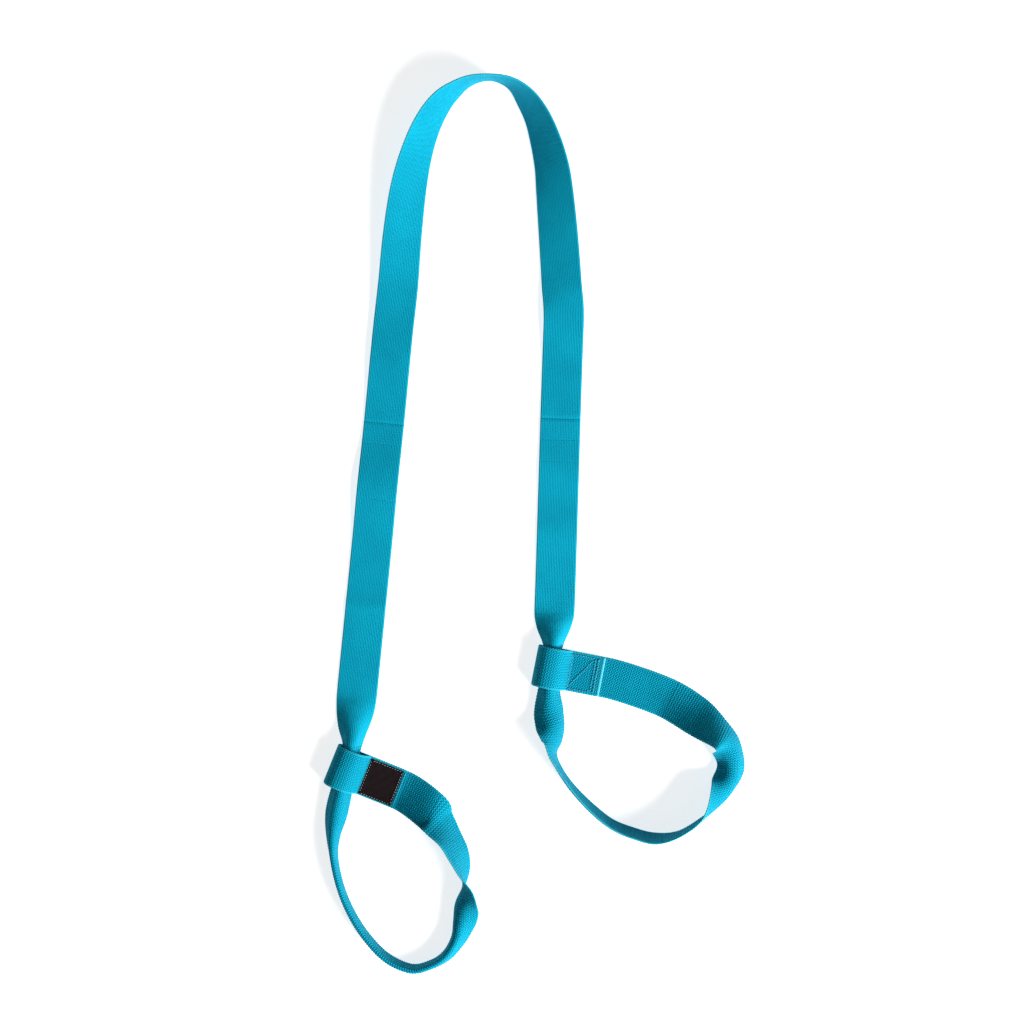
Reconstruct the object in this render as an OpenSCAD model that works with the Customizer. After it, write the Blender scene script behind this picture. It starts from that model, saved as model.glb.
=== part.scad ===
// Stretching strap: one length of woven webbing with a slip loop sewn at each end.
// It lies on a flat surface. Z is up, and all lengths are in millimetres and angles in degrees.

/* [Webbing] */
// Width of the webbing
web_w = 38; // [36:1:40]
// Thickness of the webbing
web_t = 2.2; // [1.8:0.1:2.4]

/* [Keepers] */
// Height of a keeper's sewn sleeve over its leg
sleeve_h = 24; // [23.5:0.5:27]
// Length of the opening in a sleeve, from its fold to the first row of stitches
sleeve_w = 31; // [31:1:36]
// Length of webbing sewn down beyond the left sleeve
left_sewn = 35; // [33:1:45]
// Length of webbing sewn down beyond the right sleeve
right_sewn = 30; // [28:1:45]

/* [Label and stitches] */
// Length of the label along the band
label_l = 33; // [20:1:34]
// Width of the label across the band
label_w = 35; // [20:1:36]
// Thickness of the label
label_t = 0.6; // [0.4:0.1:1]
// Thickness of the sewing thread
thread_d = 0.7; // [0.5:0.1:1]
// Length of one stitch and its gap
stitch_pitch = 2.5; // [2:0.1:4]

/* [Hidden] */
web_blue = [0.06, 0.62, 0.78];
edge_blue = [0.30, 0.80, 0.90];
thread_blue = [0.03, 0.40, 0.52];
label_black = [0.04, 0.03, 0.03];
thread_pale = [0.55, 0.60, 0.60];

layer_gap = 0.15;  // air between two sewn layers
fold_gap = 0.15;   // half the gap between two runs at a fold line
run_gap = 0.5;     // between the arch and each straight run
steps = 5;         // rings from one station to the next
arc_steps = 5;     // facets across the bend of a section
full_fold = 185;   // fold angle at which the bend would take none of the width
tight_bend = 0.026; // shortest bend, in millimetres for each degree of fold
flank_share = 0.05; // least share of the width in each straight flank
least_fold = 0.5;  // a flat section is drawn with this fold, in degrees

// A station is [x, y, lift, roll, fold, skew]. lift is the height of the section's lowest point.
// roll raises the edge on the left of the direction of travel. fold bends the section lengthwise:
// a ridge on its upper face where it is positive, a valley where negative. skew turns the
// section's plane about Z.

// The arch, from the left leg over the top to the right leg
arch_route = [
    [-142, 90, 0, 0, 0, 0], [-133, 180, 0, 0, 0, 0], [-128, 225, 0, 10, 0, 0],
    [-124, 270, 0, 20, 0, 0], [-118, 314, 0, 32, 0, 0], [-110, 347, 0, 45, 0, 0],
    [-100, 373, 0, 55, 0, 0], [-88, 392, 0, 65, 0, 0], [-75, 404, 0, 77, 0, 0],
    [-60, 413, 0, 89, 0, 0], [-42, 416, 0, 95, 0, 0], [-24, 411, 0, 86, 0, 0],
    [-10, 398, 0, 68, 0, 0], [1, 381, 0, 57, 0, 0], [9, 360, 0, 46, 0, 0],
    [15, 337, 0, 36, 0, 0], [18, 315, 0, 27, 0, 0], [22, 270, 0, 16, 0, 0],
    [25, 226, 0, 8, 0, 0], [27, 190, 0, 0, 0, 0], [24, 100, 0, 0, 0, 0]];

// The left leg's neck, the strand in its keeper and the slip loop, back to the band
left_route = [
    [-154, -30, 0, 0, 0, 0], [-160, -90, 0, 0, 0, 0], [-166, -150, 0, 0, 8, 0],
    [-168, -170, 0, 0, 48, 0], [-170, -187, 0.5, 0, 96, 0], [-171, -205, 2.5, 0, 138, 0],
    [-175, -226, 2.5, 0, 144, 0], [-181, -248, 2.5, 0, 132, 0], [-186, -270, 1, 0, 130, 0],
    [-189, -291, 0, 0, 152, 0], [-188, -312, 0, 0, 168, 0], [-182, -338, 0, 0, 172, 0],
    [-172, -362, 0, 0, 172, 0], [-158, -384, 0, 0, 172, 0], [-139, -404, 0, 0, 170, 0],
    [-116, -414, 0, -4, 165, 0], [-98, -410, 0, -6, 165, 0], [-84, -401, 0, -8, 160, 0],
    [-74.5, -386, 0, -12, 148, 0], [-71.5, -370, 0, -26, 120, 0], [-70, -354, 0, -46, 86, 0],
    [-66.5, -338, 0, -76, 50, 0], [-68, -322, 0, -104, 28, 0], [-71.5, -306, 0, -117, 6, 0],
    [-79.5, -290, 0.5, -122, 0, 0], [-88.5, -277, 2.5, -138, 0, 5], [-97.5, -265, 9, -166, 0, 8],
    [-124.6, -248.2, 2.35, -180, 0, 0], [-151.8, -243.3, 2.35, -180, 0, 0]];

// The right leg's neck, the strand in its keeper and the slip loop, back to the band
right_route = [
    [21, 0, 0, 0, 0, 0], [19.8, -40, 0, 0, 0, 0], [18.6, -75, 0, 0, 6, 0],
    [17.6, -94, 0.8, 0, 78, 0], [17, -112, 2.5, 0, 137, 0], [15, -134, 2.5, 0, 144, 0],
    [13, -156, 2.5, 0, 128, 0], [15, -173, 1, -12, 100, 0], [19, -187, 0, -34, 80, 0],
    [19, -200, 0, -58, 40, 0], [17, -214, 0, -80, 0, 0], [24, -231, 0, -86, -20, 0],
    [36, -248, 0, -86, -25, 0], [54, -267, 0, -84, -30, 0], [71, -280, 0, -84, -30, 0],
    [90, -288, 0, -83, -30, 0], [111, -292, 0, -84, -20, 0], [134, -286, 0, -93, 0, 0],
    [158, -271, 0, -100, -18, 0], [178, -249, 0, -134, -78, 0], [184.5, -229, 1, -172, -110, 0],
    [183, -210, 4, -162, -96, 0], [175, -194, 9, -134, -34, 8], [151, -178, 3, -164, 0, 0],
    [126, -163, 0, -179, 0, 0], [95, -151, 0, -180, 0, 0], [64.8, -142.4, 0, -180, 0, 0],
    [36.1, -139.5, 0, -180, 0, 0]];

function rad(angle) = angle * PI / 180;

// Catmull-Rom spline through the stations, in its own parameter: whole numbers are stations.
function station(route, s) = let (
    i = min(floor(s), len(route) - 2),
    t = s - i,
    p1 = route[i],
    p2 = route[i + 1],
    p0 = i > 0 ? route[i - 1] : 2 * p1 - p2,
    p3 = i < len(route) - 2 ? route[i + 2] : 2 * p2 - p1)
    (2 * p1 + (p2 - p0) * t + (2 * p0 - 5 * p1 + 4 * p2 - p3) * t * t
    + (3 * p1 - p0 - 3 * p2 + p3) * t * t * t) / 2;
function heading(route, s) = let (
    a = station(route, max(s - 0.01, 0)),
    b = station(route, min(s + 0.01, len(route) - 1)))
    atan2(b[1] - a[1], b[0] - a[0]);

// Section across the webbing: a bend in the middle and a straight flank on each side
function bend_len(fold) = min(max(web_w * (1 - abs(fold) / full_fold), tight_bend * abs(fold)),
    web_w * (1 - 2 * flank_share));
function bend_points(fold) = [for (k = [0:arc_steps]) bend_len(fold) * (k / arc_steps - 0.5)];
function across(fold) = concat([-web_w / 2], bend_points(fold), [web_w / 2]);
function slope(u, fold) = let (full = abs(fold))
    max(min(full * u / bend_len(fold), full / 2), -full / 2);
function middle(u, fold) = let (
    r = bend_len(fold) / rad(abs(fold)),
    past = max(abs(u) - bend_len(fold) / 2, 0),
    a = r * sin(abs(slope(u, fold))) + past * cos(abs(fold) / 2),
    h = r * (1 - cos(slope(u, fold))) + past * sin(abs(fold) / 2))
    [sign(u) * a, -sign(fold) * h];
function face_point(u, fold, side) = middle(u, fold)
    + side * web_t / 2 * [sign(fold) * sin(slope(u, fold)), cos(slope(u, fold))];

// One ring of a run: the upper face from edge to edge, then the lower face back
function ring(route, s) = let (
    st = station(route, s),
    fold = abs(st[4]) < least_fold ? least_fold : st[4],
    turn = heading(route, s) + st[5],
    n = [-sin(turn), cos(turn), 0],
    d = cos(st[3]) * n + [0, 0, sin(st[3])],
    q = [0, 0, cos(st[3])] - sin(st[3]) * n,
    us = across(fold),
    flat = concat([for (u = us) face_point(u, fold, 1)],
        [for (k = [len(us) - 1:-1:0]) face_point(us[k], fold, -1)]),
    pts = [for (p = flat) p[0] * d + p[1] * q],
    low = min([for (p = pts) p[2]]))
    [for (p = pts) p + [st[0], st[1], st[2] - low]];

module run(route, from, to) {
    count = (to - from) * steps;
    rings = [for (k = [0:count]) ring(route, from + k / steps)];
    m = len(rings[0]);
    half = m / 2;
    cap = [for (k = [0:half - 2], tri = [[k, m - 2 - k, k + 1], [k, m - 1 - k, m - 2 - k]]) tri];
    end = count * m;
    sides = [for (r = [0:count - 1], k = [0:m - 1]) let (a = r * m + k, b = r * m + (k + 1) % m)
        for (tri = [[a, b, b + m], [a, b + m, a + m]]) tri];
    polyhedron(points = [for (r = rings, p = r) p],
        faces = concat(cap, sides, [for (t = cap) [t[2] + end, t[1] + end, t[0] + end]]));
}

// A straight flat run between two points, short of each by a gap
module flat_run(a, b, gap_a, gap_b) {
    length = norm(b - a);
    translate([a[0], a[1], 0])
        rotate([0, 0, atan2(b[1] - a[1], b[0] - a[0])])
            translate([gap_a, -web_w / 2, 0])
                cube([length - gap_a - gap_b, web_w, web_t]);
}

// The sleeve in its own frame: X along the band from the fold, Z up.
// hump_line runs over the strand, from the fold's foot to the start of the sewn layers.
floor_z = web_t / 2;
upper_z = web_t * 3 / 2 + layer_gap;
top_z = sleeve_h - web_t / 2;
hump_line = [
    [1.6, floor_z], [0, floor_z + 3], [0, 10], [1.8, 17], [6.4, top_z - 1.2], [13, top_z],
    [19.4, top_z - 1.4], [24.8, 16.6], [28.3, 9.8], [sleeve_w, upper_z]];

function smooth_line(points, n) =
    [for (s = [0:1 / n:len(points) - 1]) station(points, s)];
function side_line(points, off) = [for (k = [0:len(points) - 1]) let (
    a = points[max(k - 1, 0)],
    b = points[min(k + 1, len(points) - 1)],
    d = (b - a) / norm(b - a))
    points[k] + off * [-d[1], d[0]]];
function flip(list) = [for (k = [len(list) - 1:-1:0]) list[k]];

// Profile of the whole sleeve: upper layer, hump, fold and lower layer, as one bent strip
module sleeve_profile(upper_end, lower_end) {
    line = concat([[lower_end, floor_z], [sleeve_w, floor_z], [8, floor_z]],
        smooth_line(hump_line, 4),
        [[upper_end, upper_z]]);
    polygon(concat(side_line(line, web_t / 2), flip(side_line(line, -web_t / 2))));
}
module sleeve(place, turn, upper_end, lower_end) {
    at_sleeve(place, turn)
        rotate([90, 0, 0])
            linear_extrude(height = web_w, center = true)
                sleeve_profile(upper_end, lower_end);
}
module at_sleeve(place, turn) {
    translate([place[0], place[1], 0])
        rotate([0, 0, turn])
            children();
}

left_place = [-189.5, -222];
left_turn = -22;
right_place = [1, -130];
right_turn = -11;
left_sewn_end = sleeve_w + left_sewn;
right_sewn_end = sleeve_w + right_sewn;
left_band_start = left_sewn_end + 4;
right_band_start = right_sewn_end + 4;
sewn_top = upper_z + web_t / 2;
thread_lift = 0.08;  // keeps a stitch just clear of the cloth it lies on
stitch_share = 0.62; // share of the pitch that the thread shows
row_inset = 3;       // from a selvedge to the nearest row of stitches
label_start = sleeve_w + 1.4;

// A row of stitches from a to b, in the sleeve's own frame, lying at height z
module stitch_row(a, b, z) {
    count = max(round(norm(b - a) / stitch_pitch), 1);
    pitch = norm(b - a) / count;
    for (k = [0:count - 1])
        translate([each (a + (b - a) * (k + 0.5) / count), z + thread_lift + thread_d / 4])
            rotate([0, 0, atan2(b[1] - a[1], b[0] - a[0])])
                cube([pitch * stitch_share, thread_d, thread_d / 2], center = true);
}
module box_rows(x0, x1, y, z) {
    stitch_row([x0, -y + 1], [x0, y - 1], z);
    stitch_row([x1, -y + 1], [x1, y - 1], z);
    stitch_row([x0 + 1, y], [x1 - 1, y], z);
    stitch_row([x0 + 1, -y], [x1 - 1, -y], z);
}

arch_from = 1;
arch_to = 19;
left_neck_from = 1;
left_loop_from = 7;
left_band_from = 26;
left_band_to = 27;
right_neck_from = 1;
right_loop_from = 6;
right_band_from = 24;
right_band_to = 26;
left_fold_line = [-141.4, 96];
right_fold_line = [24, 100];

function place_of(route, s) = [route[s][0], route[s][1]];

module arch_run() { color(web_blue) run(arch_route, arch_from, arch_to); }
module left_upper_run() {
    color(web_blue) flat_run(place_of(arch_route, arch_from), left_fold_line, run_gap, fold_gap);
}
module right_upper_run() {
    color(web_blue) flat_run(place_of(arch_route, arch_to), right_fold_line, run_gap, fold_gap);
}
module left_lower_run() {
    color(web_blue) flat_run(left_fold_line, place_of(left_route, left_neck_from), fold_gap, 0);
}
module right_lower_run() {
    color(web_blue) flat_run(right_fold_line, place_of(right_route, right_neck_from), fold_gap, 0);
}
module left_neck_run() { color(web_blue) run(left_route, left_neck_from, left_loop_from); }
module right_neck_run() { color(web_blue) run(right_route, right_neck_from, right_loop_from); }
module left_loop_run() { color(web_blue) run(left_route, left_loop_from, left_band_from); }
module right_loop_run() { color(web_blue) run(right_route, right_loop_from, right_band_from); }
module left_band_run() { color(web_blue) run(left_route, left_band_from, left_band_to); }
module right_band_run() { color(web_blue) run(right_route, right_band_from, right_band_to); }
module left_sleeve() {
    color(web_blue) sleeve(left_place, left_turn, left_band_start, left_sewn_end);
}
module right_sleeve() {
    color(web_blue) sleeve(right_place, right_turn, right_sewn_end, right_band_start);
}
module left_stitches() {
    y = web_w / 2 - row_inset;
    near_row = sleeve_w + 0.9;
    far_row = left_sewn_end + 1;
    color(thread_blue) at_sleeve(left_place, left_turn) {
        stitch_row([near_row, -y], [near_row, y], sewn_top);
        stitch_row([far_row, -y], [far_row, y], sewn_top);
    }
}
module right_stitches() {
    y = web_w / 2 - row_inset;
    far_row = right_sewn_end - 4.5;
    color(thread_blue) at_sleeve(right_place, right_turn) {
        box_rows(sleeve_w + 1, far_row - 2.6, y, sewn_top);
        stitch_row([far_row, -y + 1], [far_row, y - 1], sewn_top);
        stitch_row([sleeve_w + 3, -y + 3], [far_row - 5, y - 3], sewn_top);
    }
}
module label() {
    color(label_black) at_sleeve(left_place, left_turn)
        translate([label_start, -label_w / 2, sewn_top + thread_lift])
            cube([label_l, label_w, label_t]);
}
module label_stitches() {
    color(thread_pale) at_sleeve(left_place, left_turn)
        box_rows(label_start + 1.2, label_start + label_l - 1.2, label_w / 2 - 1.2,
            sewn_top + thread_lift + label_t);
}

arch_run();
left_upper_run();
right_upper_run();
left_lower_run();
left_neck_run();
left_loop_run();
left_sleeve();
left_band_run();
left_stitches();
label();
label_stitches();
right_lower_run();
right_neck_run();
right_loop_run();
right_sleeve();
right_band_run();
right_stitches();
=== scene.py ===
"""Looks of the stretching strap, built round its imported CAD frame. Metres, Z up, strap lying flat."""

import math

import bpy
import numpy as np
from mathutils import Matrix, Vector


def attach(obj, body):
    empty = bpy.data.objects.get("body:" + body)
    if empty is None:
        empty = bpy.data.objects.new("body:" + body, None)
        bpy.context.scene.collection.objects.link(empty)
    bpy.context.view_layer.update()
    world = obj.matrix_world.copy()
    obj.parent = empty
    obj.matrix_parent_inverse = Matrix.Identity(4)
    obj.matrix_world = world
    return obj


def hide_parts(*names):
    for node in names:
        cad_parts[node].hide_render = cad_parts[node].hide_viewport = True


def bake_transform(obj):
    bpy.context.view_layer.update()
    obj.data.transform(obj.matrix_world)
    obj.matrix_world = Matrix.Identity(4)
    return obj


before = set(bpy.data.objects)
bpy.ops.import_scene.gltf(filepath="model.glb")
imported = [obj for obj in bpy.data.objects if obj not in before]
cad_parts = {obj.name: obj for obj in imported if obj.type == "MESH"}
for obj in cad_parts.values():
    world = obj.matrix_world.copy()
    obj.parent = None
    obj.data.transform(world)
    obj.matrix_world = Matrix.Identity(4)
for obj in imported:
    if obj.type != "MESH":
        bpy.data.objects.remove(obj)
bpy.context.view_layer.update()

# ---------------------------------------------------------------- camera
CAMERA_AT = (-0.0234, 0.0145, 1.750)
PICTURE_WIDTH = 0.957
camera_data = bpy.data.cameras.new("camera")
camera_data.sensor_width = 36
camera_data.lens = 36 * CAMERA_AT[2] / PICTURE_WIDTH
camera = bpy.data.objects.new("camera", camera_data)
camera.location = CAMERA_AT
bpy.context.scene.collection.objects.link(camera)
bpy.context.scene.camera = camera

# ---------------------------------------------------------------- sizes
WEB_W = 0.038
WEB_T = 0.0022
SLEEVE_W = 0.031
SLEEVE_H = 0.024
LAYER_GAP = 0.00015
LEFT_SEWN_END = 0.066
RIGHT_SEWN_END = 0.061
BAND_START = 0.004  # how far past the sewn layers a band leaves its sleeve
LABEL = (0.0324, 0.033, 0.035, 0.0006)  # start, length, width and thickness
SATIN_RIB = 0.0008  # one rib of the label's weave along it
SATIN_COLUMN = 0.0006  # and across it
FULL_FOLD = 185  # the fold, in degrees, at which the whole width would be flank
TIGHT_BEND = 0.000026  # least width of the bend for each degree of fold
FLANK_SHARE = 0.05  # least share of the width that stays flat on each side of a fold
LEAST_FOLD = 0.5

RIB = 0.0024  # one rib of the weave along the webbing
COLUMN = 0.0019  # one column of the weave across it
RINGS_PER_RIB = 4
RIB_HEIGHT = 0.00016
LEG_RIB_HEIGHT = 0.00008  # and less on the plain side that the legs and the arch show
LOOP_RIB_HEIGHT = 0.00026  # the ribs stand out more where the webbing is bent lengthwise
SCALLOP = 0.0002  # how far the selvedge swells and draws in with each rib
BEAD = 0.0018  # width of the rounded selvedge

# ---------------------------------------------------------------- routes of the webbing
# A station is x, y, lift, roll, fold, skew: lengths in metres and angles in degrees. lift is the height
# of the lowest point. roll raises the edge on the left of travel, fold bends the section lengthwise.
ARCH = [
    (-0.142, 0.09, 0, 0, 0, 0), (-0.133, 0.18, 0, 0, 0, 0), (-0.128, 0.225, 0, 10, 0, 0),
    (-0.124, 0.27, 0, 20, 0, 0), (-0.118, 0.314, 0, 32, 0, 0), (-0.11, 0.347, 0, 45, 0, 0),
    (-0.1, 0.373, 0, 55, 0, 0), (-0.088, 0.392, 0, 65, 0, 0), (-0.075, 0.404, 0, 77, 0, 0),
    (-0.06, 0.413, 0, 89, 0, 0), (-0.042, 0.416, 0, 95, 0, 0), (-0.024, 0.411, 0, 86, 0, 0),
    (-0.01, 0.398, 0, 68, 0, 0), (0.001, 0.381, 0, 57, 0, 0), (0.009, 0.36, 0, 46, 0, 0),
    (0.015, 0.337, 0, 36, 0, 0), (0.018, 0.315, 0, 27, 0, 0), (0.022, 0.27, 0, 16, 0, 0),
    (0.025, 0.226, 0, 8, 0, 0), (0.027, 0.19, 0, 0, 0, 0), (0.024, 0.1, 0, 0, 0, 0),
]
LEFT = [
    (-0.154, -0.03, 0, 0, 0, 0), (-0.16, -0.09, 0, 0, 0, 0), (-0.166, -0.15, 0, 0, 8, 0),
    (-0.168, -0.17, 0, 0, 48, 0), (-0.17, -0.187, 0.0005, 0, 96, 0),
    (-0.171, -0.205, 0.0025, 0, 138, 0), (-0.175, -0.226, 0.0025, 0, 144, 0),
    (-0.181, -0.248, 0.0025, 0, 132, 0), (-0.186, -0.27, 0.001, 0, 130, 0),
    (-0.189, -0.291, 0, 0, 152, 0), (-0.188, -0.312, 0, 0, 168, 0), (-0.182, -0.338, 0, 0, 172, 0),
    (-0.172, -0.362, 0, 0, 172, 0), (-0.158, -0.384, 0, 0, 172, 0), (-0.139, -0.404, 0, 0, 170, 0),
    (-0.116, -0.414, 0, -4, 165, 0), (-0.098, -0.41, 0, -6, 165, 0), (-0.084, -0.401, 0, -8, 160, 0),
    (-0.0745, -0.386, 0, -12, 148, 0), (-0.0715, -0.37, 0, -26, 120, 0), (-0.07, -0.354, 0, -46, 86, 0),
    (-0.0665, -0.338, 0, -76, 50, 0), (-0.068, -0.322, 0, -104, 28, 0),
    (-0.0715, -0.306, 0, -117, 6, 0), (-0.0795, -0.29, 0.0005, -122, 0, 0),
    (-0.0885, -0.277, 0.0025, -138, 0, 5), (-0.0975, -0.265, 0.009, -166, 0, 8),
    (-0.1246, -0.2482, 0.00235, -180, 0, 0), (-0.1518, -0.2433, 0.00235, -180, 0, 0),
]
RIGHT = [
    (0.021, 0, 0, 0, 0, 0), (0.0198, -0.04, 0, 0, 0, 0), (0.0186, -0.075, 0, 0, 6, 0),
    (0.0176, -0.094, 0.0008, 0, 78, 0), (0.017, -0.112, 0.0025, 0, 137, 0),
    (0.015, -0.134, 0.0025, 0, 144, 0), (0.013, -0.156, 0.0025, 0, 128, 0),
    (0.015, -0.173, 0.001, -12, 100, 0), (0.019, -0.187, 0, -34, 80, 0), (0.019, -0.2, 0, -58, 40, 0),
    (0.017, -0.214, 0, -80, 0, 0), (0.024, -0.231, 0, -86, -20, 0), (0.036, -0.248, 0, -86, -25, 0),
    (0.054, -0.267, 0, -84, -30, 0), (0.071, -0.28, 0, -84, -30, 0), (0.09, -0.288, 0, -83, -30, 0),
    (0.111, -0.292, 0, -84, -20, 0), (0.134, -0.286, 0, -93, 0, 0), (0.158, -0.271, 0, -100, -18, 0),
    (0.178, -0.249, 0, -134, -78, 0), (0.1845, -0.229, 0.001, -172, -110, 0),
    (0.183, -0.21, 0.004, -162, -96, 0), (0.175, -0.194, 0.009, -134, -34, 8),
    (0.151, -0.178, 0.003, -164, 0, 0), (0.126, -0.163, 0, -179, 0, 0), (0.095, -0.151, 0, -180, 0, 0),
    (0.0648, -0.1424, 0, -180, 0, 0), (0.0361, -0.1395, 0, -180, 0, 0),
]
LEFT_FOLD = (-0.1414, 0.096)
RIGHT_FOLD = (0.024, 0.100)
FOLD_LENGTH = 0.020  # stretch of a leg that bends when it folds
LEFT_NECK_START = 0.072  # from the fold line to where the webbing starts to follow the keeper
RIGHT_NECK_START = 0.040
LEFT_PLACE, LEFT_TURN = (-0.1895, -0.222), -22
RIGHT_PLACE, RIGHT_TURN = (0.001, -0.130), -11

FLOOR_Z = WEB_T / 2
UPPER_Z = WEB_T * 1.5 + LAYER_GAP
TOP_Z = SLEEVE_H - WEB_T / 2
HUMP = [
    (0.0016, FLOOR_Z), (0, FLOOR_Z + 0.003), (0, 0.010), (0.0018, 0.017),
    (0.0064, TOP_Z - 0.0012), (0.013, TOP_Z), (0.0194, TOP_Z - 0.0014), (0.0248, 0.0166),
    (0.0283, 0.0098), (SLEEVE_W, UPPER_Z),
]


# ---------------------------------------------------------------- webbing shape
def spline(points, s):
    """Catmull-Rom spline through the points, whole numbers of s being the points themselves."""
    p = np.array(points, float)
    p = np.vstack([2 * p[0] - p[1], p, 2 * p[-1] - p[-2]])
    i = np.clip(np.floor(s).astype(int), 0, len(points) - 2)
    t = (s - i)[:, None]
    a, b, c, d = p[i], p[i + 1], p[i + 2], p[i + 3]
    return (
        2 * b + (c - a) * t + (2 * a - 5 * b + 4 * c - d) * t**2 + (3 * b - a - 3 * c + d) * t**3
    ) / 2


def course(route, start, end):
    """Dense rows along a route: x, y, lift, roll, fold, and the direction that the section faces."""
    s = np.linspace(start, end, int((end - start) * 80) + 1)
    rows = spline(route, s)
    ahead = spline(route, np.minimum(s + 0.01, len(route) - 1))
    behind = spline(route, np.maximum(s - 0.01, 0))
    turn = np.unwrap(np.arctan2(*(ahead - behind)[:, 1::-1].T)) + np.radians(rows[:, 5])
    return np.column_stack([rows[:, :5], turn])


def straight(a, b):
    """Dense rows along a flat straight run."""
    a, b = np.array(a, float), np.array(b, float)
    n = int(np.linalg.norm(b - a) / 0.0005) + 2
    xy = a + (b - a) * np.linspace(0, 1, n)[:, None]
    turn = math.atan2(b[1] - a[1], b[0] - a[0])
    return np.column_stack([xy, np.zeros((n, 3)), np.full(n, turn)])


def join(*parts):
    """Courses one after another, with the direction kept continuous."""
    rows = np.vstack(parts)
    rows[:, 5] = np.unwrap(rows[:, 5])
    return rows


def length_along(points):
    """The length of a line of points up to each of them."""
    return np.concatenate([[0], np.cumsum(np.linalg.norm(np.diff(points, axis=0), axis=1))])


def evenly(rows, across):
    """The rows at even steps, a whole number of ribs in all, with their lengths and rib counts. The first
    across columns are the place that the length is measured by."""
    length = length_along(rows[:, :across])
    keep = np.concatenate([[True], np.diff(length) > 1e-9])
    length, rows = length[keep], rows[keep]
    ribs = max(round(length[-1] / RIB), 1)
    at = np.linspace(0, length[-1], ribs * RINGS_PER_RIB + 1)
    return np.column_stack([np.interp(at, length, col) for col in rows.T]), at, at * ribs / length[-1]


def across_points():
    """Places across the webbing, closer together at the rounded selvedges, and each one's share of the
    half thickness."""
    inner = WEB_W / 2 - WEB_T / 2
    arc = np.radians([0, 22, 45, 68, 90])
    edge = inner + WEB_T / 2 * np.cos(arc)
    u = np.concatenate([-edge, np.linspace(-inner, inner, 27)[1:-1], edge[::-1]])
    half = np.full(len(u), 1.0)
    half[:5] = np.sin(arc)
    half[-5:] = np.sin(arc)[::-1]
    return u, half


U, HALF = across_points()


def bend(fold):
    """The middle line of a folded section: place across and height of each point of U, and its slope."""
    fold = np.where(np.abs(fold) < LEAST_FOLD, LEAST_FOLD, fold)[:, None]
    full = np.abs(fold)
    sign = np.sign(fold)
    length = np.clip(
        np.maximum(WEB_W * (1 - full / FULL_FOLD), TIGHT_BEND * full), None,
        WEB_W * (1 - 2 * FLANK_SHARE),
    )
    slope = np.radians(np.clip(full * U / length, -full / 2, full / 2))
    radius = length / np.radians(full)
    past = np.maximum(np.abs(U) - length / 2, 0)
    out = np.sign(U) * (radius * np.sin(np.abs(slope)) + past * np.cos(np.radians(full) / 2))
    high = -sign * (radius * (1 - np.cos(slope)) + past * np.sin(np.radians(full) / 2))
    return out, high, sign * np.sin(slope), np.cos(slope)


def weave_height(ribs, height):
    """Ribs on the faces and scallops on the selvedges, as (extra half thickness, extra half width).
    A run starts and ends halfway up a rib, so that the next one carries the pattern on."""
    wave = np.sin(2 * math.pi * ribs)[:, None]
    edge = np.clip((np.abs(U) - (WEB_W / 2 - BEAD)) / BEAD, 0, 1)
    thick = height * (wave * (1 - 0.5 * edge) - 1) * HALF
    return thick, SCALLOP * wave * edge * np.sign(U)


def placed(name, verts, faces):
    """A new object in the scene, made from world points and faces."""
    mesh = bpy.data.meshes.new(name)
    mesh.from_pydata(verts, [], faces)
    piece = bpy.data.objects.new(name, mesh)
    bpy.context.scene.collection.objects.link(piece)
    return piece


def skin(name, origin, side, up, fold, ribs, height):
    """A closed run of webbing from its section frames: middle points, side and up directions, fold and
    rib counts."""
    out, high, lean, rise = bend(fold)
    thick, wide = weave_height(ribs, height)
    half = WEB_T / 2 * HALF + thick
    side, up, origin = side[:, None], up[:, None], origin[:, None]
    middle = (out + wide)[..., None] * side + high[..., None] * up
    normal = lean[..., None] * side + rise[..., None] * up
    top = origin + middle + half[..., None] * normal
    low = origin + middle - half[..., None] * normal
    rings = np.concatenate([top, low[:, -2:0:-1]], axis=1)
    n, m = rings.shape[:2]
    k = len(U)
    ring_no = np.arange(n - 1)[:, None] * m
    j = np.arange(m)[None, :]
    quads = np.stack(
        [ring_no + j, ring_no + m + j, ring_no + m + (j + 1) % m, ring_no + (j + 1) % m], -1
    ).reshape(-1, 4)
    cap = [[0, 1, m - 1]] + [[c, c + 1, m - c - 1, m - c] for c in range(1, k - 2)]
    cap.append([k - 2, k - 1, k])
    end = (n - 1) * m
    faces = quads.tolist() + cap + [[end + v for v in reversed(f)] for f in cap]
    piece = placed(name, rings.reshape(-1, 3).tolist(), faces)
    piece.data.polygons.foreach_set("use_smooth", [True] * len(quads) + [False] * (2 * len(cap)))
    across = np.concatenate([U, U[-2:0:-1]])
    lay_uv(piece.data, np.repeat(ribs + 0.25, m), np.tile(across / COLUMN, n))
    return piece


def lay_uv(mesh, along, across):
    """UVs from one pair of values for each vertex."""
    index = np.zeros(len(mesh.loops), int)
    mesh.loops.foreach_get("vertex_index", index)
    layer = mesh.uv_layers.new(name="weave")
    layer.data.foreach_set("uv", np.column_stack([along[index], across[index]]).ravel())


def section_frames(turn, roll):
    """The side and up directions of sections that face along turn and are rolled by roll degrees."""
    roll = np.radians(roll)[:, None]
    n = np.column_stack([-np.sin(turn), np.cos(turn), 0 * turn])
    z = np.array([[0, 0, 1.0]])
    return np.cos(roll) * n + np.sin(roll) * z, np.cos(roll) * z - np.sin(roll) * n


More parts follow.
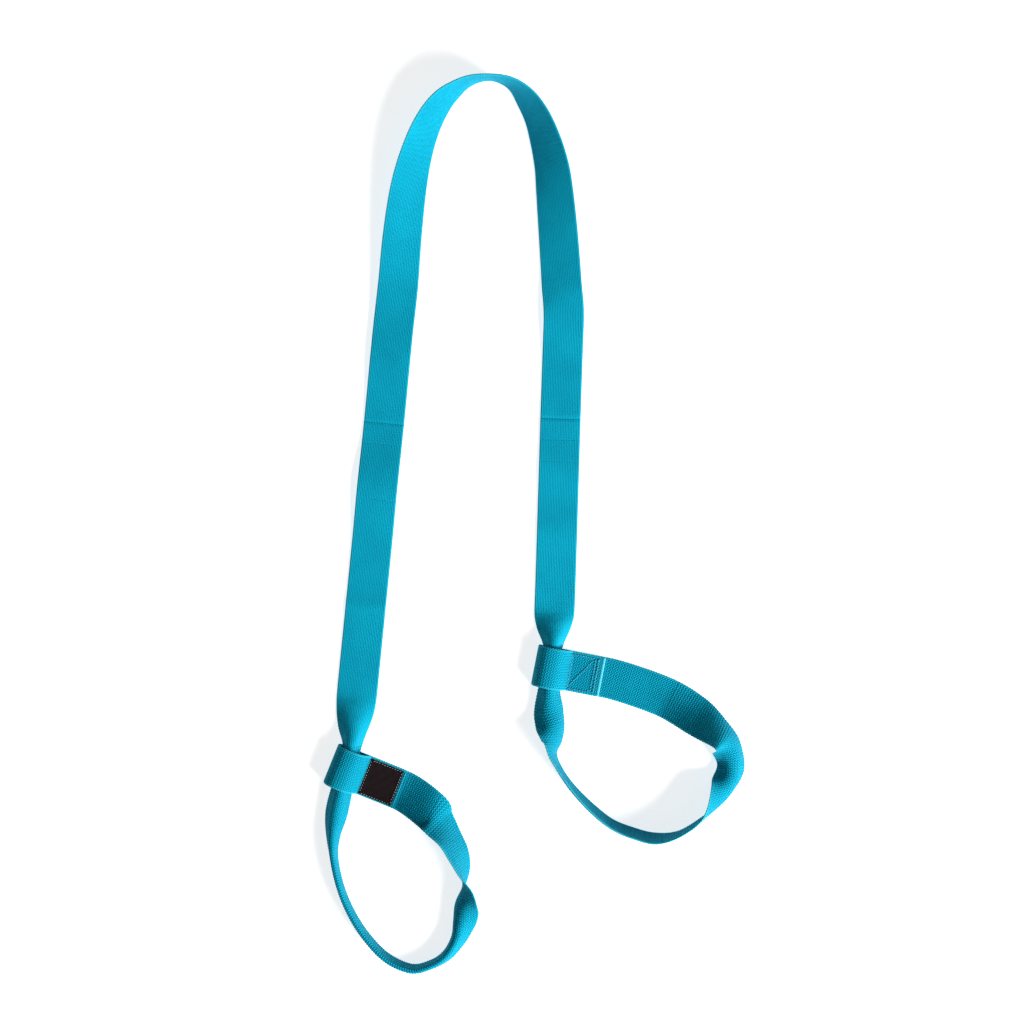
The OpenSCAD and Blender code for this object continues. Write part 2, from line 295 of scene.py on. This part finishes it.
def run(name, rows, first_rib=0, waves=(), base=0.0, height=LEG_RIB_HEIGHT):
    """A run of webbing along a course. waves are (place, height, spread): low swells across it, by their
    distance from the start of the course, which is base along the leg."""
    rows, at, ribs = evenly(rows, 2)
    x, y, lift, roll, fold, turn = rows.T
    side, up = section_frames(turn, roll)
    out, high, lean, rise = bend(fold)
    middle = out * side[:, 2:] + high * up[:, 2:]
    normal = lean * side[:, 2:] + rise * up[:, 2:]
    low = (middle - np.abs(WEB_T / 2 * HALF * normal)).min(axis=1)
    swell = sum((h * np.exp(-(((at + base - a) / spread) ** 2)) for a, h, spread in waves), 0 * at)
    origin = np.column_stack([x, y, lift - low + swell])
    piece = skin(name, origin, side, up, fold, ribs + first_rib, height)
    return piece, origin, at[-1]


def sleeve_course(line):
    """Dense points along a line of (along, height) points in a keeper's own frame, its corners rounded."""
    line = np.array(line, float)
    length = length_along(line)
    at = np.linspace(0, length[-1], int(length[-1] / 0.0002))
    xz = np.column_stack([np.interp(at, length, c) for c in line.T])
    window = np.hanning(15)
    window /= window.sum()
    padded = np.vstack([2 * xz[0] - xz[7:0:-1], xz, 2 * xz[-1] - xz[-2:-9:-1]])
    return np.column_stack([np.convolve(c, window, "valid") for c in padded.T])


def keeper(name, band_rows, place, turn, line, first_rib):
    """The band and the sewn sleeve it turns into, as one run of webbing that ends in the cut end."""
    c, s = math.cos(math.radians(turn)), math.sin(math.radians(turn))
    xz = sleeve_course(line)
    tangent = np.gradient(xz, axis=0)
    tangent /= np.linalg.norm(tangent, axis=1)[:, None]
    x, y, lift, roll, _, heading = band_rows.T
    side_a, up_a = section_frames(heading, roll)
    half = WEB_W / 2 * np.abs(side_a[:, 2]) + WEB_T / 2 * np.abs(up_a[:, 2])
    origin_a = np.column_stack([x, y, lift + half])
    origin_b = np.column_stack([place[0] + c * xz[:, 0], place[1] + s * xz[:, 0], xz[:, 1]])
    side_b = np.tile([-s, c, 0.0], (len(xz), 1))
    up_b = np.column_stack([-c * tangent[:, 1], -s * tangent[:, 1], tangent[:, 0]])
    rows = np.vstack(
        [np.column_stack([origin_a, side_a, up_a])[:-1], np.column_stack([origin_b, side_b, up_b])]
    )
    rows, at, ribs = evenly(rows, 3)
    side = rows[:, 3:6] / np.linalg.norm(rows[:, 3:6], axis=1)[:, None]
    up = rows[:, 6:] / np.linalg.norm(rows[:, 6:], axis=1)[:, None]
    return skin(name, rows[:, :3], side, up, 0 * at, ribs + first_rib, RIB_HEIGHT)


# ---------------------------------------------------------------- node helpers
class Nodes:
    """Short calls for building a node material."""

    def __init__(self, name):
        self.material = bpy.data.materials.new(name)
        self.material.use_nodes = True
        self.tree = self.material.node_tree
        self.shader = self.tree.nodes["Principled BSDF"]

    def put(self, socket, value):
        if isinstance(value, bpy.types.NodeSocket):
            self.tree.links.new(value, socket)
        else:
            socket.default_value = value

    def math(self, operation, a, b=0.0):
        node = self.tree.nodes.new("ShaderNodeMath")
        node.operation = operation
        self.put(node.inputs[0], a)
        self.put(node.inputs[1], b)
        return node.outputs[0]

    def noise(self, vector, scale, detail=2.0):
        node = self.tree.nodes.new("ShaderNodeTexNoise")
        self.put(node.inputs["Vector"], vector)
        node.inputs["Scale"].default_value = scale
        node.inputs["Detail"].default_value = detail
        return node.outputs["Fac"]

    def uv(self):
        node = self.tree.nodes.new("ShaderNodeUVMap")
        node.uv_map = "weave"
        split = self.tree.nodes.new("ShaderNodeSeparateXYZ")
        self.tree.links.new(node.outputs[0], split.inputs[0])
        return node.outputs[0], split.outputs[0], split.outputs[1]

    def place(self):
        return self.tree.nodes.new("ShaderNodeTexCoord").outputs["Object"]

    def ramp(self, factor, stops):
        node = self.tree.nodes.new("ShaderNodeValToRGB")
        ramp = node.color_ramp
        while len(ramp.elements) < len(stops):
            ramp.elements.new(0.5)
        for element, (at, colour) in zip(ramp.elements, stops):
            element.position = at
            element.color = (*colour, 1)
        self.put(node.inputs[0], factor)
        return node.outputs[0]

    def mix(self, factor, a, b, blend="MIX"):
        node = self.tree.nodes.new("ShaderNodeMix")
        node.data_type = "RGBA"
        node.blend_type = blend
        self.put(node.inputs[0], factor)
        self.put(node.inputs[6], a if isinstance(a, bpy.types.NodeSocket) else (*a, 1))
        self.put(node.inputs[7], b if isinstance(b, bpy.types.NodeSocket) else (*b, 1))
        return node.outputs[2]

    def scaled(self, value, low, high):
        node = self.tree.nodes.new("ShaderNodeMapRange")
        self.put(node.inputs[0], value)
        node.inputs[3].default_value = low
        node.inputs[4].default_value = high
        return node.outputs[0]

    def bump(self, height, distance, strength=1.0):
        node = self.tree.nodes.new("ShaderNodeBump")
        node.inputs["Strength"].default_value = strength
        node.inputs["Distance"].default_value = distance
        self.put(node.inputs["Height"], height)
        self.tree.links.new(node.outputs[0], self.shader.inputs["Normal"])

    def arches(self, value):
        """A row of half sine arches, one for each whole number."""
        return self.math("ABSOLUTE", self.math("SINE", self.math("MULTIPLY", value, math.pi)))

    def grid(self, x, y, offset):
        """Rounded bumps of a weave: 1 on top of each yarn, 0 between them. offset shifts every other
        column."""
        shift = self.math("MULTIPLY", self.math("MODULO", self.math("FLOOR", y), 2.0), offset)
        rib = self.arches(self.math("ADD", x, shift))
        return self.math("MULTIPLY", self.math("POWER", rib, 0.6), self.math("POWER", self.arches(y), 0.45))

    def finish(self, colour, roughness, sheen=0.0, specular=0.3):
        self.put(self.shader.inputs["Base Color"], colour)
        self.put(self.shader.inputs["Roughness"], roughness)
        self.shader.inputs["Sheen Weight"].default_value = sheen
        self.shader.inputs["Sheen Roughness"].default_value = 0.4
        self.shader.inputs["Specular IOR Level"].default_value = specular
        return self.material


# Weave colours: the middle one is the yarn's own turquoise, the valley colour is painted shade between the
# yarns and the crown colour is painted highlight on their tops.
VALLEY_SHADE = (0.001, 0.070, 0.125)
TURQUOISE = (0.001, 0.340, 0.520)
CROWN_HIGHLIGHT = (0.003, 0.570, 0.770)


def webbing_material(name, ribs, columns, offset, tone=1.0):
    """Turquoise webbing: ribs and columns of yarn with random speckles, painted shade in the valleys
    between the yarns and painted highlight on their crowns, soft patches of shade, paler worn selvedges.
    ribs and columns are the yarns in one rib and one column of the shape. The last argument darkens all the
    colours; below 1 it is painted shade."""
    n = Nodes(name)
    uv, x, y = n.uv()
    weave = n.grid(n.math("MULTIPLY", x, ribs), n.math("MULTIPLY", y, columns), offset)
    yarn = n.noise(uv, 2.6, 3.0)
    speckle_and_weave_shading = n.math("ADD", weave, n.scaled(yarn, -0.28, 0.28))
    shades = [tuple(tone * c for c in yarn_colour) for yarn_colour in (VALLEY_SHADE, TURQUOISE, CROWN_HIGHLIGHT)]
    # Darker in the valleys of the weave and lighter on its crowns: painted shade and painted highlight,
    # with random speckles from the yarn noise.
    colour = n.ramp(speckle_and_weave_shading, list(zip((0.05, 0.6, 1.0), shades)))
    patch = n.noise(n.place(), 26.0, 2.0)
    shade = n.ramp(patch, [(0.3, (0.84, 0.86, 0.88)), (0.7, (1.0, 1.0, 1.0))])
    colour = n.mix(1.0, colour, shade, "MULTIPLY")
    rim = n.math("SUBTRACT", n.math("ABSOLUTE", y), WEB_W / 2 / COLUMN - 1.1)
    worn = n.math("MULTIPLY", n.math("MULTIPLY", rim, 0.9), n.scaled(yarn, 0.2, 0.6))
    clamp = n.math("MINIMUM", n.math("MAXIMUM", worn, 0.0), 0.45)
    colour = n.mix(clamp, colour, (0.05, 0.60, 0.75))
    n.bump(n.math("ADD", weave, n.math("MULTIPLY", yarn, 0.5)), 0.0005, 0.8)
    return n.finish(colour, n.scaled(yarn, 0.74, 0.94), 0.02, 0.05)


def thread_material(name, dark, pale):
    """Twisted sewing thread."""
    n = Nodes(name)
    twist = n.noise(n.place(), 900.0, 2.0)
    colour = n.mix(n.scaled(twist, 0.0, 1.0), dark, pale)
    n.bump(twist, 0.0002)
    return n.finish(colour, n.scaled(twist, 0.45, 0.7), 0.1, 0.4)


def label_material():
    """Black satin-woven label: fine weft ribs, painted highlight on the raised yarns and painted shade
    between them, random dusty wear.
    """
    n = Nodes("label_cloth")
    _, x, y = n.uv()
    weave = n.grid(x, y, 0.5)
    dust = n.noise(n.place(), 130.0, 4.0)
    # Lighter on the raised yarns and darker between them: painted highlight and painted shade of the weave.
    colour = n.ramp(weave, [(0.0, (0.002, 0.0012, 0.0015)), (1.0, (0.010, 0.004, 0.005))])
    colour = n.mix(n.scaled(dust, -0.08, 0.10), colour, (0.10, 0.012, 0.018))
    n.bump(n.math("ADD", weave, n.math("MULTIPLY", dust, 0.3)), 0.0003, 0.7)
    return n.finish(colour, n.scaled(dust, 0.6, 0.85), 0.0, 0.12)


LEG_WEAVE = webbing_material("webbing_plain_side", 2.0, 1.25, 0.5)
# The band copy is the same turquoise darkened to 0.77, which is painted shade on the strands, loops and
# keepers, and it has a coarser weave.
SHADED_BAND_WEAVE = webbing_material("webbing_ribbed_side_painted_shade", 1.0, 1.25, 0.5, 0.77)
THREAD = thread_material("turquoise_thread", (0.004, 0.16, 0.25), (0.03, 0.46, 0.60))
LIGHT_THREAD = thread_material("light_turquoise_thread", (0.02, 0.36, 0.46), (0.10, 0.62, 0.72))
PALE_THREAD = thread_material("pale_thread", (0.22, 0.26, 0.27), (0.60, 0.62, 0.60))
LABEL_CLOTH = label_material()


def finish_piece(piece, material):
    piece.data.materials.append(material)
    return piece


# ---------------------------------------------------------------- webbing pieces
# The count that each piece's ribs start from, which sets where its yarn flecks fall.
FIRST_RIB = {"fold": 0, "leg": 10, "neck": 40, "strand": 160, "loop": 200, "arch": 500,
             "left_keeper": 700, "right_keeper": 800}


def point_on(a, b, distance):
    """The point at a distance from a towards b."""
    a, b = np.array(a, float), np.array(b, float)
    return a + (b - a) / np.linalg.norm(b - a) * distance


def leg(side, fold_line, neck_start, route, marks, waves):
    """The pieces of one side, from the fold line to the band: fold, leg, neck, strand and loop. Returns the
    loop with its path and length, and the direction of the leg."""
    leg_body, keeper_body = f"{side}_leg", f"{side}_keeper"
    first, strand_from, strand_to, last = marks
    neck_at = route[first][:2]
    fold_end = point_on(fold_line, neck_at, FOLD_LENGTH)
    leg_end = point_on(fold_line, neck_at, neck_start)
    axis = np.array([*(np.array(fold_line) - neck_at), 0])
    axis /= np.linalg.norm(axis)

    fold, _, fold_length = run(
        f"{side}_fold_webbing", straight(fold_line, fold_end), FIRST_RIB["fold"], waves
    )
    finish_piece(fold, LEG_WEAVE)
    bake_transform(fold)

    upper, _, upper_length = run(
        f"{side}_leg_webbing", straight(fold_end, leg_end), FIRST_RIB["leg"], waves, fold_length
    )
    finish_piece(upper, LEG_WEAVE)
    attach(upper, leg_body)
    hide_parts(f"{side}_lower_run")

    rows = join(straight(leg_end, neck_at), course(route, first, strand_from))
    neck, path, _ = run(
        f"{side}_neck_webbing", rows, FIRST_RIB["neck"], waves, fold_length + upper_length
    )
    finish_piece(neck, LEG_WEAVE)
    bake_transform(neck)
    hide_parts(f"{side}_neck_run")

    strand, _, _ = run(
        f"{side}_strand_webbing", course(route, strand_from, strand_to), FIRST_RIB["strand"],
        height=LOOP_RIB_HEIGHT,
    )
    finish_piece(strand, SHADED_BAND_WEAVE)
    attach(strand, keeper_body)

    loop, path, length = run(
        f"{side}_loop_webbing", course(route, strand_to, last), FIRST_RIB["loop"],
        height=LOOP_RIB_HEIGHT,
    )
    finish_piece(loop, SHADED_BAND_WEAVE)
    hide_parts(f"{side}_loop_run")
    return loop, path, length, axis


# Swells as (place, height, spread). Those at the fold lines, 0.0 and ARCH_SPAN, press the creases in.
ARCH_SPAN = 0.699
ARCH_WAVES = [
    (0.0, -0.0004, 0.0014), (0.075, 0.0045, 0.045), (0.600, 0.0045, 0.028),
    (ARCH_SPAN, 0.0006, 0.012), (ARCH_SPAN, -0.0005, 0.0014),
]
LEFT_WAVES = [(0.0, -0.0004, 0.0014), (0.060, 0.0055, 0.034), (0.172, 0.0010, 0.008)]
RIGHT_WAVES = [
    (0.0, 0.0006, 0.012), (0.0, -0.0005, 0.0014), (0.045, 0.0014, 0.020), (0.105, 0.0010, 0.020),
]
# Stations of the routes where one stretch of webbing ends and the next starts.
ARCH_FROM, ARCH_TO = 1, 19
LEFT_BAND = (26, 27)
RIGHT_BAND = (24, 26)

arch_rows = join(
    straight(LEFT_FOLD, ARCH[ARCH_FROM][:2]), course(ARCH, ARCH_FROM, ARCH_TO),
    straight(ARCH[ARCH_TO][:2], RIGHT_FOLD),
)
arch, arch_path, arch_length = run("arch_webbing", arch_rows, FIRST_RIB["arch"], ARCH_WAVES)
finish_piece(arch, LEG_WEAVE)
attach(arch, "arch")
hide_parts("arch_run", "left_upper_run", "right_upper_run")

SIDES = {
    "left": (LEFT_FOLD, LEFT_NECK_START, LEFT, (1, 5, 7.4, LEFT_BAND[0]), LEFT_WAVES),
    "right": (RIGHT_FOLD, RIGHT_NECK_START, RIGHT, (1, 4, 6.4, RIGHT_BAND[0]), RIGHT_WAVES),
}
for side, facts in SIDES.items():
    loop, path, length, axis = leg(side, *facts)
    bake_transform(loop)

hump = spline(HUMP, np.linspace(0, len(HUMP) - 1, 120)).tolist()
foot = (0.008, FLOOR_Z)  # where the lower layer is flat on the floor
left_line = (
    [(LEFT_SEWN_END + BAND_START, UPPER_Z)] + hump[::-1] + [foot, (LEFT_SEWN_END, FLOOR_Z)]
)
right_line = (
    [(RIGHT_SEWN_END + BAND_START, FLOOR_Z), foot] + hump + [(RIGHT_SEWN_END, UPPER_Z)]
)
left_keeper = keeper(
    "left_keeper_webbing", course(LEFT, *LEFT_BAND), LEFT_PLACE, LEFT_TURN, left_line,
    FIRST_RIB["left_keeper"],
)
right_keeper = keeper(
    "right_keeper_webbing", course(RIGHT, *RIGHT_BAND), RIGHT_PLACE, RIGHT_TURN, right_line,
    FIRST_RIB["right_keeper"],
)
for side, piece in (("left", left_keeper), ("right", right_keeper)):
    finish_piece(piece, SHADED_BAND_WEAVE)
    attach(piece, f"{side}_keeper")
    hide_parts(f"{side}_sleeve", f"{side}_band_run")


# ---------------------------------------------------------------- thread
def to_world(place, turn, x, y, z):
    """Points of a keeper's own frame in the world."""
    c, s = math.cos(math.radians(turn)), math.sin(math.radians(turn))
    return np.stack([place[0] + c * x - s * y, place[1] + s * x + c * y, z], -1)


def tube(points, radius, sides=8):
    """Vertices and faces of a closed round tube along the points, tapering into its ends."""
    p = np.array(points, float)
    t = np.gradient(p, axis=0)
    t /= np.linalg.norm(t, axis=1)[:, None]
    a = np.cross(t, [0, 0, 1.0])
    a /= np.linalg.norm(a, axis=1)[:, None]
    b = np.cross(a, t)
    r = np.full(len(p), radius)
    r[0] = r[-1] = radius * 0.55
    angle = np.linspace(0, 2 * math.pi, sides, endpoint=False)
    rings = p[:, None] + r[:, None, None] * (
        np.cos(angle)[None, :, None] * a[:, None] + np.sin(angle)[None, :, None] * b[:, None]
    )
    n = len(p)
    faces = [
        [i * sides + j, i * sides + k, (i + 1) * sides + k, (i + 1) * sides + j]
        for i in range(n - 1) for j in range(sides) for k in [(j + 1) % sides]
    ]
    faces.append(list(range(sides))[::-1])
    faces.append([(n - 1) * sides + j for j in range(sides)])
    return rings.reshape(-1, 3), faces


def stitches_on(name, place, turn, height, strokes, radius, material, seed):
    """Stitches lying on a keeper: each stroke is (start, end) in the keeper's frame. They arch, and sink
    at their ends."""
    rng = np.random.default_rng(seed)
    verts, faces = [], []
    for a, b in strokes:
        a, b = np.array(a, float), np.array(b, float)
        t = np.linspace(0, 1, 7)[:, None]
        wander = rng.normal(0, 0.00008, 2)
        xy = a + (b - a) * t + wander
        z = height + radius * (np.sin(math.pi * t[:, 0]) ** 0.6 * 1.35 - 0.75)
        points = to_world(place, turn, xy[:, 0], xy[:, 1], z)
        v, f = tube(points, radius * rng.uniform(0.9, 1.1))
        faces += [[i + len(verts) for i in face] for face in f]
        verts += v.tolist()
    piece = placed(name, verts, faces)
    piece.data.shade_smooth()
    return finish_piece(piece, material)


def row(a, b, pitch, share=0.78):
    """Strokes of one row of lockstitches from a to b."""
    a, b = np.array(a, float), np.array(b, float)
    count = max(round(np.linalg.norm(b - a) / pitch), 1)
    step = (b - a) / count
    return [(a + step * (k + (1 - share) / 2), a + step * (k + (1 + share) / 2)) for k in range(count)]


def zigzag(x, y0, y1, width, pitch):
    """Strokes of a zigzag row across the webbing."""
    count = round((y1 - y0) / pitch)
    ys = np.linspace(y0, y1, count + 1)
    xs = x + width / 2 * np.where(np.arange(count + 1) % 2, 1, -1)
    return [((xs[k], ys[k]), (xs[k + 1], ys[k + 1])) for k in range(count)]


PITCH = 0.0025
INSET = 0.003  # from the selvedge to a row
CORNER = 0.001  # what a row stops short of the row that it meets
ZIGZAG_WIDTH, ZIGZAG_PITCH = 0.0018, 0.0017
half_row = WEB_W / 2 - INSET
sewn_top = UPPER_Z + WEB_T / 2 - 0.0001

left_near, left_far = SLEEVE_W + 0.0009, LEFT_SEWN_END + 0.001
left_rows = (
    row((left_near, -half_row), (left_near, half_row), PITCH)
    + row((left_far, -half_row), (left_far, half_row), PITCH)
)
left_stitches = stitches_on(
    "left_box_stitches", LEFT_PLACE, LEFT_TURN, sewn_top, left_rows, 0.00045, THREAD, 1
)
far_row = RIGHT_SEWN_END - 0.0045
box_from, box_to = SLEEVE_W + 0.001, far_row - 0.0026
right_rows = (
    zigzag(box_from, -half_row, half_row, ZIGZAG_WIDTH, ZIGZAG_PITCH)
    + row((box_to, -half_row + CORNER), (box_to, half_row - CORNER), PITCH)
    + row((box_from + CORNER, half_row), (box_to - CORNER, half_row), PITCH)
    + row((box_from + CORNER, -half_row), (box_to - CORNER, -half_row), PITCH)
    + row((SLEEVE_W + 0.003, -half_row + 0.003), (far_row - 0.005, half_row - 0.003), PITCH)
    + zigzag(far_row + 0.0004, -half_row, half_row, ZIGZAG_WIDTH, ZIGZAG_PITCH)
)
right_stitches = stitches_on(
    "right_box_stitches", RIGHT_PLACE, RIGHT_TURN, sewn_top, right_rows, 0.00048, THREAD, 2
)
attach(left_stitches, "left_keeper")
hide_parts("left_stitches")
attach(right_stitches, "right_keeper")
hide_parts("right_stitches")


# ---------------------------------------------------------------- cut end of the webbing
def cut_end(place, turn, start, end, base, height):
    """The heat-sealed end of the webbing: a pale, slightly uneven bar across the keeper."""
    rng = np.random.default_rng(4)
    n, sides = 90, 16
    v = np.linspace(-WEB_W / 2 + 0.0002, WEB_W / 2 - 0.0002, n)
    angle = np.linspace(0, 2 * math.pi, sides, endpoint=False)
    ends = np.sqrt(np.clip(np.minimum(np.arange(n), n - 1 - np.arange(n)) / 2, 0.12, 1))
    lump = 1 + 0.05 * np.cos(2 * math.pi * v / RIB) + rng.normal(0, 0.015, n)
    shape = ends * lump
    round_x = np.sign(np.cos(angle)) * np.abs(np.cos(angle)) ** 0.6
    round_z = np.sign(np.sin(angle)) * np.abs(np.sin(angle)) ** 0.6
    x = (start + end) / 2 + (end - start) / 2 * shape[:, None] * round_x
    z = base + height / 2 * (1 + shape[:, None] * round_z)
    verts = to_world(place, turn, x, v[:, None] + 0 * x, z).reshape(-1, 3)
    faces = [
        [i * sides + j, (i + 1) * sides + j, (i + 1) * sides + k, i * sides + k]
        for i in range(n - 1) for j in range(sides) for k in [(j + 1) % sides]
    ]
    faces.append(list(range(sides)))
    faces.append([(n - 1) * sides + j for j in range(sides)][::-1])
    piece = placed("right_sealed_end", verts.tolist(), faces)
    piece.data.shade_smooth()
    return finish_piece(piece, LIGHT_THREAD)


sealed_end = cut_end(
    RIGHT_PLACE, RIGHT_TURN, RIGHT_SEWN_END - 0.0006, RIGHT_SEWN_END + 0.0022, 0.0023, 0.0024
)
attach(sealed_end, "right_keeper")


# ---------------------------------------------------------------- label
def label_piece():
    """The woven label: a thin closed cloth with a turned hem, puckered slightly between its stitches."""
    start, length, width, thick = LABEL
    nx, ny = 133, 141
    x = np.linspace(0, length, nx)[:, None] + 0 * np.linspace(0, 1, ny)
    y = np.linspace(-width / 2, width / 2, ny)[None, :] + 0 * x
    rim = np.minimum(np.minimum(x, length - x), width / 2 - np.abs(y))
    hem = 0.00022 * np.exp(-(((rim - 0.0022) / 0.0008) ** 2))
    ribs = 0.00005 * np.cos(2 * math.pi * x / SATIN_RIB)
    swell = 0.0002 * np.sin(math.pi * x / length) * np.cos(math.pi * y / width)
    swell = swell + 0.00012 * np.sin(x * 700 + 2) * np.cos(y * 520)
    top = thick * np.clip(rim / 0.0005, 0.25, 1) + hem * (rim > 0.0003) + ribs + swell
    ragged = 0.00012 * np.sin(y * 4300) + 0.0001 * np.sin(y * 1900)
    local_x = start + x + ragged * (np.abs(x - length / 2) > length / 2 - 0.0002)
    base = UPPER_Z + WEB_T / 2 - 0.00005

    count = nx * ny
    verts = np.vstack([
        to_world(LEFT_PLACE, LEFT_TURN, local_x, y, base + z).reshape(-1, 3) for z in (top, 0 * top)
    ])
    i = (np.arange(nx - 1)[:, None] * ny + np.arange(ny - 1)[None, :]).ravel()
    upper = np.stack([i, i + ny, i + ny + 1, i + 1], -1)
    lower = upper[:, ::-1] + count
    loop = (
        [k * ny for k in range(nx)] + [(nx - 1) * ny + k for k in range(1, ny)]
        + [k * ny + ny - 1 for k in range(nx - 2, -1, -1)] + [k for k in range(ny - 2, 0, -1)]
    )
    walls = [
        [loop[k], loop[k] + count, loop[(k + 1) % len(loop)] + count, loop[(k + 1) % len(loop)]]
        for k in range(len(loop))
    ]
    piece = placed("woven_label", verts.tolist(), upper.tolist() + lower.tolist() + walls)
    smooth = [True] * (2 * len(upper)) + [False] * len(walls)
    piece.data.polygons.foreach_set("use_smooth", smooth)
    lay_uv(piece.data, np.tile(x.ravel(), 2) / SATIN_RIB, np.tile(y.ravel(), 2) / SATIN_COLUMN)
    return finish_piece(piece, LABEL_CLOTH)


label = label_piece()
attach(label, "left_keeper")
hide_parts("label")

LABEL_INSET = 0.0012
SHORT_SHARE = 0.4  # the share of the pitch that a stitch of the label shows
x0, x1 = LABEL[0] + LABEL_INSET, LABEL[0] + LABEL[1] - LABEL_INSET
y1 = LABEL[2] / 2 - LABEL_INSET
label_rows = (
    row((x0 + CORNER, y1), (x1 - CORNER, y1), PITCH, SHORT_SHARE)
    + row((x1, -y1 + CORNER), (x1, y1 - CORNER), PITCH, SHORT_SHARE)
    + row((x0 + CORNER, -y1), (x1 - CORNER, -y1), PITCH, SHORT_SHARE)
    + row((x0, -y1 + CORNER), (x0, y1 - CORNER), PITCH, SHORT_SHARE)
)
label_top = UPPER_Z + WEB_T / 2 + LABEL[3]
label_stitches = stitches_on(
    "label_stitches_pale", LEFT_PLACE, LEFT_TURN, label_top, label_rows, 0.00022, PALE_THREAD,
    3,
)
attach(label_stitches, "left_keeper")
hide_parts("label_stitches")

# ---------------------------------------------------------------- floor and light
FLOOR_REACH = 6.0
floor = placed(
    "floor", [(FLOOR_REACH * x, FLOOR_REACH * y, 0) for x, y in ((-1, -1), (1, -1), (1, 1), (-1, 1))],
    [(0, 1, 2, 3)],
)
floor.location.z = -0.0002
floor_nodes = Nodes("pale_floor")
floor_noise = floor_nodes.noise(floor_nodes.place(), 3.0)
floor_nodes.put(
    floor_nodes.shader.inputs["Base Color"],
    floor_nodes.mix(floor_noise, (0.90, 0.90, 0.90), (0.93, 0.93, 0.93)),
)
floor_nodes.shader.inputs["Roughness"].default_value = 0.9
floor_nodes.shader.inputs["Emission Color"].default_value = (1, 1, 1, 1)
floor_nodes.shader.inputs["Emission Strength"].default_value = 0.72
floor.data.materials.append(floor_nodes.material)


def area_light(name, place, target, size, power):
    """A square light that faces its target."""
    data = bpy.data.lights.new(name, "AREA")
    data.size = size
    data.energy = power
    light = bpy.data.objects.new(name, data)
    light.location = place
    aim = np.array(target, float) - np.array(place, float)
    light.rotation_mode = "QUATERNION"
    light.rotation_quaternion = Vector(aim).to_track_quat("-Z", "Y")
    bpy.context.scene.collection.objects.link(light)


area_light("key", (2.45, -1.80, 1.75), (0, 0, 0), 1.7, 275)
world = bpy.data.worlds.new("studio")
world.use_nodes = True
world.node_tree.nodes["Background"].inputs[0].default_value = (1, 1, 1, 1)
world.node_tree.nodes["Background"].inputs[1].default_value = 0.15
bpy.context.scene.world = world
bpy.context.scene.view_settings.view_transform = "Standard"
